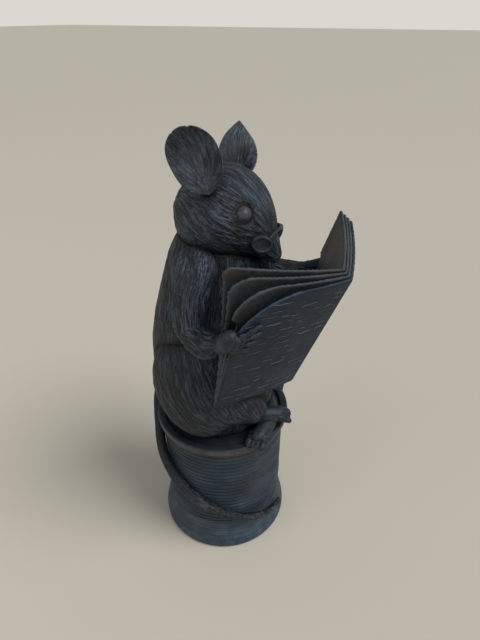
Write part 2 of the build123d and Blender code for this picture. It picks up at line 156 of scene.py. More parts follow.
node_trees = {}
for label in nodes:
    node_points, node_faces = node_arrays(label)
    node_trees[label] = (BVHTree.FromPolygons(node_points.tolist(), node_faces.tolist()), node_points.min(0), node_points.max(0))


def gap_to_others(name, points, reach=3.0, skip=("thread_winding",)):
    """How far each point is outside the nearest other node, up to reach; negative inside one."""
    gap = np.full(len(points), reach)
    for other, (tree, low, high) in node_trees.items():
        if other == name or other in skip:
            continue
        near = np.nonzero(np.all((points > low - reach) & (points < high + reach), axis=1))[0]
        for index, place in zip(near.tolist(), points[near].tolist()):
            spot, normal, _, away = tree.find_nearest(place, reach)
            if spot is not None:
                if (Vector(place) - spot).dot(normal) < 0:
                    away = -away
                if away < gap[index]:
                    gap[index] = away
    return gap


def thinned(mesh, weights, share):
    """The mesh with the weighted points' faces merged down to a share of all faces."""
    holder = bpy.data.objects.new("thin_source", mesh)
    bpy.context.scene.collection.objects.link(holder)
    group = holder.vertex_groups.new(name="hidden")
    group.add(np.nonzero(weights > 0.5)[0].tolist(), 1.0, "REPLACE")
    step = holder.modifiers.new("thin", "DECIMATE")
    step.ratio = share
    step.vertex_group = "hidden"
    step.vertex_group_factor = 1000.0
    bpy.context.view_layer.update()
    result = bpy.data.meshes.new_from_object(holder.evaluated_get(bpy.context.evaluated_depsgraph_get()))
    bpy.data.objects.remove(holder)
    return result


def finish_piece(name, mesh, material, relief, covers=True):
    """Makes a mesh with its relief into a piece, which stands for the CAD node of its name if it covers one."""
    mesh.update()
    mesh.shade_smooth()
    layer = mesh.attributes.new("relief", "FLOAT", "POINT")
    layer.data.foreach_set("value", np.asarray(relief, dtype=np.float32))
    piece = bpy.data.objects.new(name + "_cast", mesh)
    bpy.context.scene.collection.objects.link(piece)
    piece.data.materials.append(material)
    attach(piece, "root")
    if covers:
        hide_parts(name)
    return piece


def add_piece(name, points, faces, material, covers, values=None, smooth=True, hidden=None):
    """A finished piece that stands for CAD nodes, with its point values for the material."""
    mesh = make_mesh(name, points, faces)
    if smooth:
        mesh.shade_smooth()
    for key, numbers in (values or {}).items():
        numbers = np.asarray(numbers, dtype=np.float32)
        layer = mesh.attributes.new(key, "FLOAT" if numbers.ndim == 1 else "FLOAT_VECTOR", "POINT")
        layer.data.foreach_set("value" if numbers.ndim == 1 else "vector", numbers.ravel())
    if hidden is not None and hidden.any():
        mesh = thinned(mesh, hidden, 1 - 0.9 * hidden.mean())
        mesh.name = name
    piece = bpy.data.objects.new(name, mesh)
    bpy.context.scene.collection.objects.link(piece)
    piece.data.materials.append(material)
    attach(piece, "root")
    if covers:
        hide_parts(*covers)
    return piece


# ---- materials

def new_material(name):
    material = bpy.data.materials.new(name)
    material.use_nodes = True
    return material, material.node_tree.nodes, material.node_tree.links, material.node_tree.nodes["Principled BSDF"]


def ramp(tree, factor, stops):
    """A colour ramp with the given stops on a factor socket."""
    node = tree.nodes.new("ShaderNodeValToRGB")
    band = node.color_ramp
    while len(band.elements) < len(stops):
        band.elements.new(1.0)
    for element, (place, colour) in zip(band.elements, stops):
        element.position = place
        element.color = (*colour, 1.0)
    tree.links.new(factor, node.inputs["Fac"])
    return node.outputs["Color"]


def hair_lines(tree, place):
    """The finest hairs: noise summed along each point's hair direction."""
    way = tree.nodes.new("ShaderNodeAttribute")
    way.attribute_name = "way"
    total = None
    for step in range(-3, 4):
        moved = tree.nodes.new("ShaderNodeVectorMath")
        moved.operation = "MULTIPLY_ADD"
        tree.links.new(way.outputs["Vector"], moved.inputs[0])
        moved.inputs[1].default_value = (step * 0.0004,) * 3
        tree.links.new(place, moved.inputs[2])
        noise = tree.nodes.new("ShaderNodeTexNoise")
        noise.inputs["Scale"].default_value = 2300.0
        noise.inputs["Detail"].default_value = 0.0
        tree.links.new(moved.outputs["Vector"], noise.inputs["Vector"])
        if total is None:
            total = noise.outputs["Fac"]
        else:
            joined = tree.nodes.new("ShaderNodeMath")
            tree.links.new(total, joined.inputs[0])
            tree.links.new(noise.outputs["Fac"], joined.inputs[1])
            total = joined.outputs[0]
    spread = tree.nodes.new("ShaderNodeMapRange")
    spread.inputs["From Min"].default_value = 2.95
    spread.inputs["From Max"].default_value = 4.05
    tree.links.new(total, spread.inputs["Value"])
    return spread.outputs["Result"]


def patina(name, groove, middle, high, tint, tint_amount=0.5, rough=(0.62, 0.45), grain=0.12, grain_size=900.0, hair=0.0, shine=0.35):
    """Patinated resin: dark in the grooves, rubbed paler on the ridges, with a tint in soft patches."""
    material, tree_nodes, links, shader = new_material(name)
    shader.inputs["Specular IOR Level"].default_value = shine
    tree = material.node_tree
    place = tree_nodes.new("ShaderNodeTexCoord").outputs["Object"]
    relief = tree_nodes.new("ShaderNodeAttribute")
    relief.attribute_name = "relief"
    patches = tree_nodes.new("ShaderNodeTexNoise")
    patches.inputs["Scale"].default_value = 85.0
    patches.inputs["Detail"].default_value = 4.0
    links.new(place, patches.inputs["Vector"])
    speckle = tree_nodes.new("ShaderNodeTexNoise")
    speckle.inputs["Scale"].default_value = grain_size
    speckle.inputs["Detail"].default_value = 3.0
    links.new(place, speckle.inputs["Vector"])
    worn = tree_nodes.new("ShaderNodeMath")
    worn.operation = "MULTIPLY_ADD"
    links.new(speckle.outputs["Fac"], worn.inputs[0])
    worn.inputs[1].default_value = 0.36
    links.new(relief.outputs["Fac"], worn.inputs[2])
    lower = tree_nodes.new("ShaderNodeMath")
    lower.operation = "SUBTRACT"
    lower.inputs[1].default_value = 0.18
    links.new(worn.outputs[0], lower.inputs[0])
    height = speckle.outputs["Fac"]
    if hair:
        height = hair_lines(tree, place)
        strands = tree_nodes.new("ShaderNodeMath")
        strands.operation = "MULTIPLY_ADD"
        strands.inputs[1].default_value = hair
        links.new(height, strands.inputs[0])
        links.new(worn.outputs[0], strands.inputs[2])
        links.new(strands.outputs[0], lower.inputs[0])
        lower.inputs[1].default_value = 0.18 + hair / 2
    colour = ramp(tree, lower.outputs[0], [(0.08, groove), (0.5, middle), (0.95, high)])
    tinted = tree_nodes.new("ShaderNodeMix")
    tinted.data_type = "RGBA"
    tinted.blend_type = "MIX"
    spread = tree_nodes.new("ShaderNodeMapRange")
    spread.inputs["From Min"].default_value = 0.46
    spread.inputs["From Max"].default_value = 0.66
    spread.inputs["To Max"].default_value = tint_amount
    links.new(patches.outputs["Fac"], spread.inputs["Value"])
    links.new(spread.outputs["Result"], tinted.inputs["Factor"])
    links.new(colour, tinted.inputs["A"])
    tinted.inputs["B"].default_value = (*tint, 1.0)
    links.new(tinted.outputs["Result"], shader.inputs["Base Color"])
    gloss = tree_nodes.new("ShaderNodeMapRange")
    gloss.inputs["To Min"].default_value = rough[0]
    gloss.inputs["To Max"].default_value = rough[1]
    links.new(lower.outputs[0], gloss.inputs["Value"])
    links.new(gloss.outputs["Result"], shader.inputs["Roughness"])
    bump = tree_nodes.new("ShaderNodeBump")
    bump.inputs["Strength"].default_value = 0.75 if hair else grain
    bump.inputs["Distance"].default_value = 0.0003
    links.new(height, bump.inputs["Height"])
    links.new(bump.outputs["Normal"], shader.inputs["Normal"])
    return material


fur_resin = patina("fur_resin", (0.003, 0.004, 0.0055), (0.013, 0.021, 0.031), (0.05, 0.072, 0.1), (0.022, 0.02, 0.021), 0.35, hair=0.65)
# The torso and legs take a darker copy of the fur, as painted shade.
fur_resin_painted_shade = patina("fur_resin_painted_shade", (0.0018, 0.0026, 0.0038), (0.0072, 0.0118, 0.0178), (0.034, 0.05, 0.069), (0.0125, 0.0115, 0.012), 0.3, hair=0.75)
ear_resin = patina("ear_resin", (0.009, 0.012, 0.016), (0.052, 0.067, 0.088), (0.125, 0.155, 0.195), (0.05, 0.05, 0.053), 0.3, hair=0.35)
skin_resin = patina("skin_resin", (0.003, 0.0045, 0.0065), (0.013, 0.0215, 0.0315), (0.044, 0.065, 0.09), (0.02, 0.019, 0.02), 0.35)
tail_resin = patina("tail_resin", (0.0025, 0.004, 0.0055), (0.0092, 0.0152, 0.021), (0.032, 0.044, 0.056), (0.013, 0.0125, 0.0125), 0.3, hair=0.3)
paper_resin = patina("paper_resin", (0.0025, 0.0055, 0.010), (0.009, 0.02, 0.037), (0.042, 0.068, 0.104), (0.017, 0.018, 0.02), 0.35, shine=0.2)
# The engraved print's dashes, their paleness a painted highlight.
print_resin_painted_highlight = patina("print_resin_painted_highlight", (0.016, 0.023, 0.031), (0.06, 0.08, 0.1), (0.16, 0.2, 0.235), (0.07, 0.066, 0.062), 0.3, shine=0.2)
inner_paper_resin = patina("inner_paper_resin", (0.006, 0.007, 0.008), (0.027, 0.03, 0.034), (0.08, 0.094, 0.11), (0.044, 0.04, 0.036), 0.5, shine=0.2)
reel_resin = patina("reel_resin", (0.008, 0.012, 0.017), (0.028, 0.05, 0.074), (0.074, 0.112, 0.15), (0.038, 0.035, 0.033), 0.35)
rim_resin = patina("rim_resin", (0.004, 0.006, 0.0085), (0.015, 0.0235, 0.034), (0.085, 0.06, 0.048), (0.024, 0.021, 0.02), 0.2)
thread_resin = patina("thread_resin", (0.003, 0.005, 0.0075), (0.013, 0.026, 0.041), (0.055, 0.085, 0.114), (0.024, 0.022, 0.022), 0.35)
eye_resin = patina("eye_resin", (0.02, 0.022, 0.025), (0.046, 0.048, 0.053), (0.085, 0.085, 0.09), (0.056, 0.049, 0.045), 0.6, (0.42, 0.36), 0.03)
spectacle_resin = patina("spectacle_resin", (0.008, 0.011, 0.015), (0.024, 0.033, 0.044), (0.06, 0.08, 0.1), (0.026, 0.025, 0.026), 0.3)


def plain_wood():
    """Beech for the dowel inside."""
    material, tree_nodes, links, shader = new_material("dowel_beech")
    tree = material.node_tree
    grain = tree_nodes.new("ShaderNodeTexWave")
    grain.inputs["Scale"].default_value = 260.0
    grain.inputs["Distortion"].default_value = 3.0
    links.new(tree_nodes.new("ShaderNodeTexCoord").outputs["Object"], grain.inputs["Vector"])
    links.new(ramp(tree, grain.outputs["Fac"], [(0.0, (0.42, 0.29, 0.17)), (1.0, (0.56, 0.41, 0.26))]), shader.inputs["Base Color"])
    shader.inputs["Roughness"].default_value = 0.6
    return material


# ---- frames of the head, the ears and the newspaper, as the solids have them

seat_height = 67.67
head_centre = np.array([0.0, 0.0, seat_height + 97.4])
head_half_width, head_half_height, head_length, head_rear = 19.2, 16.4, 44.8, 15.5
face_way = Vector((0, -cos(radians(25.0)), -sin(radians(25.0))))
head_turn = Matrix.Rotation(radians(9.5), 3, "Z")
head_x = head_turn @ Matrix.Rotation(radians(-9.0), 3, face_way) @ Vector((1, 0, 0))
head_z = head_turn @ face_way
head_axes = np.array([head_x, head_z.cross(head_x), head_z])
snout_way = head_axes[2]
nose_tip = head_centre + np.array([0, -0.26 * head_half_height, 0.996 * head_length - head_rear]) @ head_axes


def head_local(points):
    """Places in the head's frame: to its left, up over the skull, out along the snout."""
    return (points - head_centre) @ head_axes.T


def head_place(side, across_share, up_share, along_share):
    """A point from shares of the head's half width, half height and length."""
    local = np.array([side * across_share * head_half_width, up_share * head_half_height, along_share * head_length])
    return head_centre + local @ head_axes


paper_origin = np.array([0.0, -34.3, seat_height + 28.4])
paper_lean = radians(20.4)
paper_axes = np.array([[1, 0, 0], [0, cos(paper_lean), sin(paper_lean)], [0, -sin(paper_lean), cos(paper_lean)]])
page_angles = {-1: radians(62.0), 1: radians(70.0)}
page_height, page_length, page_bow = 56.5, 51.53, 1.546
page_foot, page_spread = 35.5, 6.0


# ---- fur

def tangent(ways, normals):
    """Directions laid flat on the surface."""
    return unit(ways - np.sum(ways * normals, 1, keepdims=True) * normals)


def torso_flow(points, normals):
    """Fur falls down the body, parting a little from the back's middle."""
    ways = np.tile([0.0, 0.0, -1.0], (len(points), 1))
    ways[:, 0] += 0.25 * np.sign(points[:, 0]) * np.clip(np.abs(points[:, 0]) / 20, 0, 1)
    return tangent(ways, normals)


def head_flow(points, normals):
    """Fur runs back from the nose over the cheeks and the skull."""
    return tangent(unit(points - nose_tip) - 0.55 * snout_way, normals)


def arm_flow(side):
    line = np.array([[17, -1, 149.7], [27, -3.5, 140.7], [33, -8.2, 130.2], [36.2, -18, 132.3], [38.2, -25, 136.3]])
    drop = np.array([0, 0, 1.0, 4.0, 5.8]) if side > 0 else np.zeros(5)
    line = line * [side, 1, 1] - drop[:, None] * [0, 0, 1]

    def flow(points, normals):
        """Fur runs down the arm towards the wrist."""
        middle = (line[1:] + line[:-1]) / 2
        nearest = np.argmin(((points[:, None] - middle[None]) ** 2).sum(2), axis=1)
        return tangent(unit(line[1:] - line[:-1])[nearest] + [0, 0, -0.25], normals)

    return flow


def leg_flow(side):
    def flow(points, normals):
        """Fur runs down the haunch and turns forward along the shin."""
        low = np.clip((105 - points[:, 2]) / 25, 0, 1)
        ways = np.stack([-0.15 * side * low, -0.25 - 0.5 * low, -1 + 0.35 * low], 1)
        return tangent(ways, normals)

    return flow


def streaks(points, ways, width, length, seed):
    """Noise drawn out along the hair, so that it falls into fine strands."""
    steps = max(2, int(length / width))
    total = np.zeros(len(points))
    for step in range(-steps, steps + 1):
        total += lattice_noise(points + ways * (0.5 * width * step), width, seed)
    return total / total.std()


def furred(name, flow, material, voxel, seed, depth=0.26, detail=None):
    """A remeshed CAD form with strands raised on it and painted shade where it meets its neighbours."""
    points, faces = remeshed(*node_arrays(name), voxel)
    points = smoothed(points, faces, 6)
    normals = normals_of(points, faces)
    covered = gap_to_others(name, points + 0.6 * normals) < -0.1
    # Painted shade: darker close to the neighbouring parts, where shadow falls between them.
    crease = np.clip(1 - gap_to_others(name, points) / 2.6, 0, 1) ** 1.2
    ways = flow(points, normals)
    turn = 0.3 * lattice_noise(points, 6.0, seed + 2)[:, None]
    ways = ways * np.cos(turn) + np.cross(normals, ways) * np.sin(turn)
    relief = 0.5 + 0.17 * streaks(points, ways, 2.2 * voxel, 4.5, seed) + 0.07 * streaks(points, ways, 1.7, 7.0, seed + 1)
    relief = np.clip(relief, 0, 1) * (1 - 0.9 * crease)
    lift = 0.0
    if detail is not None:
        lift, relief = detail(points, normals, relief)
    rise = (2 * depth * (relief - 0.5) + lift) * ~covered
    points = points + normals * rise[:, None]
    return add_piece(name + "_cast", points, faces, material, [name], {"relief": relief, "way": ways}, hidden=covered)


eye_places = {side: head_place(side, 0.72, 0.465, 0.24) for side in (-1, 1)}
eye_radius = 3.1


def face_detail(points, normals, relief):
    """Lids round the eyes, a nose with nostrils, a mouth line and whisker pits."""
    local = head_local(points)
    lift = np.zeros(len(points))
    for side, eye in eye_places.items():
        away = np.linalg.norm(points - eye, axis=1)
        ahead = np.clip((points - eye) @ (0.8 * head_axes[2] + 0.6 * head_axes[1]) / 4.0, -0.2, 1)
        fold = np.exp(-(((away - 3.75) / 0.5) ** 2)) * np.clip(0.25 + ahead, 0, 1)
        calm = np.clip((4.3 - away) / 0.8, 0, 1)
        relief = relief * (1 - calm) + calm * 0.4
        lift -= 0.5 * fold
        relief = np.clip(relief - 0.6 * fold - 0.5 * np.clip((3.45 - away) / 0.2, 0, 1), 0, 1)
    nose = np.linalg.norm(points - nose_tip, axis=1)
    pad = np.clip((3.2 - nose) / 1.0, 0, 1)
    lift += 0.2 * pad
    relief = relief * (1 - pad) + 0.6 * pad
    for side in (-1, 1):
        nostril = np.linalg.norm(local - [side * 1.25, -3.6, 29.0], axis=1)
        dent = np.exp(-((nostril / 0.75) ** 2))
        lift -= 0.3 * dent
        relief = np.clip(relief - 0.6 * dent, 0, 1)
    along = local[:, 2]
    mouth_height = -6.6 - 0.05 * (27 - along) + 0.018 * (27 - along) ** 2
    mouth = np.exp(-(((local[:, 1] - mouth_height) / 0.42) ** 2)) * np.clip((along - 12) / 4, 0, 1) * np.clip((29 - along) / 1.5, 0, 1)
    lift -= 0.45 * mouth
    relief = np.clip(relief - 0.75 * mouth, 0, 1)
    for side in (-1, 1):
        for row in range(3):
            for place in range(4):
                pit_at = np.array([side * (4.2 + 0.9 * place), -2.2 - 1.5 * row + 0.25 * place, 25.0 - 1.9 * place + 0.4 * row])
                pit = np.exp(-((np.linalg.norm((local - pit_at) * [0.4, 1, 1], axis=1) / 0.45) ** 2))
                lift -= 0.3 * pit
                relief = np.clip(relief - 0.6 * pit, 0, 1)
    return lift, relief


for seed, (label, flow, resin, voxel, detail) in enumerate((
    ("torso", torso_flow, fur_resin_painted_shade, 0.42, None),
    ("head", head_flow, fur_resin, 0.28, face_detail),
    ("arm_right", arm_flow(-1), fur_resin, 0.28, None),
    ("arm_left", arm_flow(1), fur_resin, 0.28, None),
    ("leg_right", leg_flow(-1), fur_resin_painted_shade, 0.34, None),
    ("leg_left", leg_flow(1), fur_resin_painted_shade, 0.34, None),
)):
    furred(label, flow, resin, voxel, 11 + 4 * seed, detail=detail)


def bar(start, end, first, last):
    """A closed tapering bar with round ends: points and faces."""
    along = unit(end - start)
    across = unit(np.cross(along, [0.31, 0.52, 0.8]))
    over = np.cross(along, across)
    sides, caps = 16, 5
    rings = [(start - along * first * cos(pi / 2 * i / caps), first * sin(pi / 2 * i / caps)) for i in range(1, caps + 1)]
    rings += [(end + along * last * sin(pi / 2 * i / caps), last * cos(pi / 2 * i / caps)) for i in range(caps)]
    points = [start - along * first]
    for middle, radius in rings:
        points += [middle + radius * (across * cos(2 * pi * i / sides) + over * sin(2 * pi * i / sides)) for i in range(sides)]
    points.append(end + along * last)
    faces = [[0, 1 + (i + 1) % sides, 1 + i] for i in range(sides)]
    for ring in range(len(rings) - 1):
        low = 1 + ring * sides
        for i in range(sides):
            a, b = low + i, low + (i + 1) % sides
            faces += [[a, b, b + sides], [a, b + sides, a + sides]]
    top = 1 + (len(rings) - 1) * sides
    faces += [[top + i, top + (i + 1) % sides, len(points) - 1] for i in range(sides)]
    return points, faces


def joined_bars(bars):
    """All bars in one mesh of triangles."""
    points, faces = [], []
    for one in bars:
        more_points, more_faces = bar(*one)
        faces += [[len(points) + corner for corner in face] for face in more_faces]
        points += more_points
    return np.array(points), np.array(faces)


ear_spots = {-1: (0.97, 1.07, -0.245), 1: (0.90, 1.14, -0.170)}
ear_leans = {-1: (0.33, 0.66, -0.67), 1: (0.22, 0.80, -0.56)}
ear_opens = {-1: (0.93, -0.10, 0.36), 1: (0.93, -0.05, 0.36)}


def evened(angle, reach, along):
    """How much to stretch an ear's points outward so that its edge runs in an even curve."""
    bins = 120
    slot = ((angle / (2 * pi) + 0.5) * bins).astype(int) % bins
    edge = np.zeros(bins)
    np.maximum.at(edge, slot, reach)
    even = np.convolve(np.tile(edge, 3), np.hanning(23) / np.hanning(23).sum(), "same")[bins:2 * bins]
    share = np.clip((reach - 4.0) / 4.0, 0, 1) * np.clip((along + 1.0) / 4.0, 0, 1)
    return 1 + (even / np.maximum(edge, 1.0) - 1)[slot] * share


def ear_piece(name, side):
    """An ear with faint lines fanning out of its root, deepest in the fold at its front, with painted shade towards
    the root at its back and where it meets the head.
    """
    centre = head_place(side, *ear_spots[side])
    tip_way = unit(np.array(ear_leans[side]) * [side, 1, 1] @ head_axes)
    open_way = unit(np.array(ear_opens[side]) * [side, 1, 1] @ head_axes)
    across_way = unit(np.cross(tip_way, open_way))
    tip_way = np.cross(open_way, across_way)
    root = centre - 8.6 * tip_way + 1.2 * open_way
    inward = unit(head_centre - root)
    mound_points, mound_faces = joined_bars([(root + shift * across_way, root + 5.5 * inward, 1.9, 3.4) for shift in (-2.4, 0.0, 2.4)])
    ear_points, ear_faces = node_arrays(name)
    points, faces = remeshed(np.concatenate([ear_points, mound_points]), np.concatenate([ear_faces, mound_faces + len(ear_points)]), 0.25)
    away = points - centre
    across, along, depth = away @ across_way, away @ tip_way, away @ open_way
    reach = np.hypot(across, along)
    cup = 15.0 - np.sqrt(np.maximum(15.0**2 - reach**2, 1.0))
    thin = 0.62 * np.clip((reach - 5.5) / 4.0, 0, 1) * np.clip((along + 6.0) / 3.0, 0, 1)
    points = points + (np.maximum(cup - depth, 0) * thin)[:, None] * open_way
    if side < 0:
        stretch = evened(np.arctan2(across, along), reach, along) - 1
        points = points + (stretch * across)[:, None] * across_way + (stretch * along)[:, None] * tip_way
    points = smoothed(points, faces, 40, back=-0.47)
    normals = normals_of(points, faces)
    across, along = (points - centre) @ across_way, (points - centre) @ tip_way
    front = across * np.sign(across_way @ snout_way)
    ways = tangent(points - (centre - 15.0 * tip_way), normals)
    facing = normals @ open_way
    edge = np.clip(1 - np.abs(facing) * 1.8, 0, 1)
    fold = np.clip((front - 1.5) / 2.5, 0, 1) * np.clip((1.5 - along) / 4.0, 0, 1)
    # Painted shade: darker towards the root at the ear's back.
    shade = np.clip((-4.5 - along - 0.35 * front) / 3.0, 0, 1)
    relief = 0.47 + 0.09 * streaks(points, ways, 0.6, 5.0, 31) + 0.08 * lattice_noise(points, 2.4, 34) - 0.22 * fold - 0.2 * shade
    relief = np.clip(relief * (1 - edge) + 0.6 * edge, 0, 1)
    # Painted shade where the ear meets the head.
    crease = np.clip(1 - gap_to_others(name, points) / 1.4, 0, 1)
    relief *= 1 - 0.7 * crease
    points = points + normals * ((0.3 * (relief - 0.5) - 0.35 * fold) * (1 - 0.7 * edge))[:, None]
    return add_piece(name + "_cast", points, faces, ear_resin, [name], {"relief": relief, "way": ways})


ear_piece("ear_right", -1)
ear_piece("ear_left", 1)


def page_point(side, out, up, lift):
    """A point on a page's outer face, out from the fold, up it and lifted off the face."""
    angle = page_angles[side]
    share = out / page_length
    away = lift + 4 * page_bow * share * (1 - share)
    local = np.array([side * (out * sin(angle) + away * cos(angle)), out * cos(angle) - away * sin(angle), up])
    return paper_origin + local @ paper_axes


def sheet_piece(label, resin, voxel):
    """One folded sheet, a little uneven, rubbed pale along its edges."""
    name = f"newspaper_{label}_sheet"
    points, faces = remeshed(*node_arrays(name), voxel)
    points = smoothed(points, faces, 14)
    normals = normals_of(points, faces)
    local = (points - paper_origin) @ paper_axes.T
    facing = normals @ paper_axes.T
    waves = lattice_noise(points, 9.0, 41)
    fine = lattice_noise(points, 1.4, 42)
    edge = np.zeros(len(points))
    for side, angle in page_angles.items():
        front = facing[:, :2] @ np.array([side * cos(angle), -sin(angle)])
        edge = np.where(side * local[:, 0] > 0, np.clip(1 - np.abs(front) * 1.25, 0, 1), edge)
    relief = np.clip(0.48 + 0.12 * waves + 0.08 * fine + 0.4 * edge, 0, 1)
    points = points + normals * (0.06 * waves + 0.015 * fine)[:, None]
    add_piece(name + "_cast", points, faces, resin, [name], {"relief": relief})
    return BVHTree.FromPolygons(points.tolist(), faces.tolist())


outer_face = sheet_piece("outer", paper_resin, 0.40)
for label in ("second", "third", "inner"):
    sheet_piece(label, inner_paper_resin, 0.42)


def print_strips(side, seed):
    """Rows of plain dashes that stand for the engraved lines of print, pale as a painted highlight: points, faces and
    relief.
    """
    draw = np.random.default_rng(seed)
    row_step, steps = 2.9, 12
    points, faces, relief = [], [], []
    for row in range(1, int(page_height / row_step)):
        at = draw.uniform(1.5, 5.0)
        level = row * row_step
        reach = (page_foot + page_spread * level / page_height) / sin(page_angles[side]) - 2.0
        while at < reach - 3:
            run = min(draw.uniform(2.0, 9.0), reach - at)
            lift, bend, tilt = draw.normal(0, 0.45), draw.normal(0, 0.3), draw.normal(-0.02, 0.05)
            strength = draw.uniform(0.2, 0.9)
            shift = len(points)
            for step in range(steps + 1):
                share = step / steps
                out = at + run * share
                up = level + lift + tilt * run * (share - 0.5) + bend * sin(pi * share) + 0.13 * sin(1.7 * out + row)
                spot, normal, _, _ = outer_face.find_nearest(page_point(side, out, up, 0.2).tolist())
                spot, normal = np.array(spot), np.array(normal)
                across = unit(np.cross(normal, page_point(side, out + 1, up, 0) - page_point(side, out, up, 0)))
                half = 0.25 * (0.25 + 0.75 * sin(pi * share) ** 0.5)
                points += [spot - half * across - 0.06 * normal, spot + 0.11 * normal, spot + half * across - 0.06 * normal]
                # Painted highlight: palest along each dash's middle ridge.
                relief += [strength * 0.6, strength, strength * 0.6]
            for step in range(steps):
                low = shift + 3 * step
                faces += [[low + i, low + (i + 1) % 3, low + 3 + (i + 1) % 3, low + 3 + i] for i in range(3)]
            faces += [[shift + 2, shift + 1, shift], [shift + 3 * steps, shift + 3 * steps + 1, shift + 3 * steps + 2]]
            at += run + draw.choice((0.7, 2.0, 4.5, 7.5))
    return points, faces, relief


for side, label in ((-1, "right"), (1, "left")):
    strip_points, strip_faces, strip_relief = print_strips(side, 51 + side)
    strips = bpy.data.meshes.new(f"newspaper_print_{label}")
    strips.from_pydata((np.array(strip_points) * MM).tolist(), [], strip_faces)
    finish_piece(f"newspaper_print_{label}", strips, print_resin_painted_highlight, strip_relief, False)


def cast(name, voxel, material, rounds=4, lump=0.06, lump_size=2.2, seed=3, shape=None):
    """A remeshed CAD form with the slight unevenness of a casting."""
    points, faces = remeshed(*node_arrays(name), voxel)
    points = smoothed(points, faces, rounds)
    if shape is not None:
        points = shape(points)
    normals = normals_of(points, faces)
    noise = lattice_noise(points, lump_size, seed)
    relief = np.clip(0.55 + 0.3 * noise, 0, 1)
    points = points + normals * (lump * noise)[:, None]
    return add_piece(name + "_cast", points, faces, material, [name], {"relief": relief})


def claw(base, way, size, length):
    """A small tapered nail, curved down a little: points and faces."""
    way = unit(way)
    across = unit(np.cross(way, [0.3, 0.2, 1.0]))
    over = np.cross(across, way)
    rings, sides = 7, 10
    points, faces = [], []
    for ring in range(rings):
        share = ring / (rings - 1)
        middle = base + way * length * share - over * 0.35 * length * share**2
        radius = size * (1 - share) ** 0.6 + 0.05
        for side in range(sides):
            turn = 2 * pi * side / sides
            points.append(middle + radius * (across * cos(turn) + 0.8 * over * sin(turn)))
    for ring in range(rings - 1):
        for side in range(sides):
            low, high = ring * sides + side, ring * sides + (side + 1) % sides
            faces.append([low, high, high + sides, low + sides])
    faces.append([*range(sides)][::-1])
    faces.append([(rings - 1) * sides + side for side in range(sides)])
    return points, faces


def fingered(name, voxel, digits, nail_size, nail_length, seed, bars=None):
    """A hand or a foot: skin with creases across the fingers and a nail on each."""
    points, faces = remeshed(*(joined_bars(bars) if bars else node_arrays(name)), voxel)
    points = smoothed(points, faces, 3)
    normals = normals_of(points, faces)
    noise = lattice_noise(points, 1.8, seed)
    ways = tangent(np.tile(digits[1][1] - bars[0][0], (len(points), 1)), normals) if bars else normals
    relief = np.clip(0.5 + 0.16 * noise + 0.07 * streaks(points, ways, 0.4, 2.5, seed + 5), 0, 1)
    lift = 0.3 * (relief - 0.5)
    for start, end in digits:
        run = end - start
        length = np.linalg.norm(run)
        along = (points - start) @ run / length
        beside = np.linalg.norm(points - start - along[:, None] * run / length, axis=1)
        near = np.clip((2.0 - beside) / 0.5, 0, 1)
        for share in (0.12, 0.42, 0.55):
            crease = near * np.exp(-(((along - share * length) / 0.28) ** 2))
            lift -= 0.16 * crease
            relief = np.clip(relief - 0.45 * crease, 0, 1)
    points = points + normals * lift[:, None]
    all_points, all_faces = points.tolist(), faces.tolist()
    relief = relief.tolist()
    for start, end in digits:
        way = unit(end - start)
        nail_points, nail_faces = claw(end + 0.35 * way, way, nail_size, nail_length)
        shift = len(all_points)
        all_points += [list(p) for p in nail_points]
        all_faces += [[shift + corner for corner in face] for face in nail_faces]
        relief += [0.7] * len(nail_points)
    mesh = bpy.data.meshes.new(name + "_cast")
    mesh.from_pydata((np.array(all_points) * MM).tolist(), [], all_faces)
    return finish_piece(name, mesh, skin_resin, relief)


hand_grips = {-1: 37.0, 1: 33.0}


def finger_runs(side):
    """Each finger from knuckle to tip, spread over the edge of the page."""
    grip = hand_grips[side]
    edge = (page_foot + page_spread * grip / page_height) / sin(page_angles[side]) + 0.6
    runs = []
    for place, (out, rise) in enumerate(((6.0, -0.2), (7.8, 1.6), (8.4, 4.2), (7.0, 6.4))):
        root = page_point(side, edge - 0.8, grip - 2.6 + 1.75 * place, 0.75)
        runs.append((root, page_point(side, edge - out, grip - 2.6 + 1.2 * place + rise, 0.6)))
    return runs


def hand_bars(side):
    """The palm from the wrist to the page's edge, and the fingers."""
    wrist = {-1: np.array([-37.4, -22.5, 134.4]), 1: np.array([37.4, -22.5, 129.2])}[side]
    grip = hand_grips[side]
    edge = (page_foot + page_spread * grip / page_height) / sin(page_angles[side])
    bars = [(wrist, page_point(side, edge + 1.2, grip + rise, -1.2), 3.5, 2.6) for rise in (-1.4, 0.3, 2.0)]
    return bars + [(root, tip, 1.15, 0.8) for root, tip in finger_runs(side)]


def toe_runs(side, instep, toe):
    """Each toe from its root at the ball of the foot to its end, bent down."""
    instep, toe = (np.array([side * out, -ahead, seat_height + above]) for out, ahead, above in (instep, toe))
    onward = unit(toe - instep)
    across = unit(np.cross(onward, [0, 0, 1]))
    runs = []
    for share in (-0.66, -0.22, 0.22, 0.66):
        root = toe + across * share * 4.6
        runs.append((root, root + onward * 4.2 - np.array([0, 0, 1.5])))
    return runs


fingered("hand_right", 0.2, finger_runs(-1), 0.6, 1.2, 61, hand_bars(-1))
fingered("hand_left", 0.2, finger_runs(1), 0.6, 1.2, 62, hand_bars(1))


def foot_bars(side, places, sizes):
    """A foot as a blunt block through the given places, out, ahead and above the seat."""
    spots = [np.array([side * out, -ahead, seat_height + above]) for out, ahead, above in places]
    return [(*pair, *radii) for pair, radii in zip(zip(spots, spots[1:]), zip(sizes, sizes[1:]))]


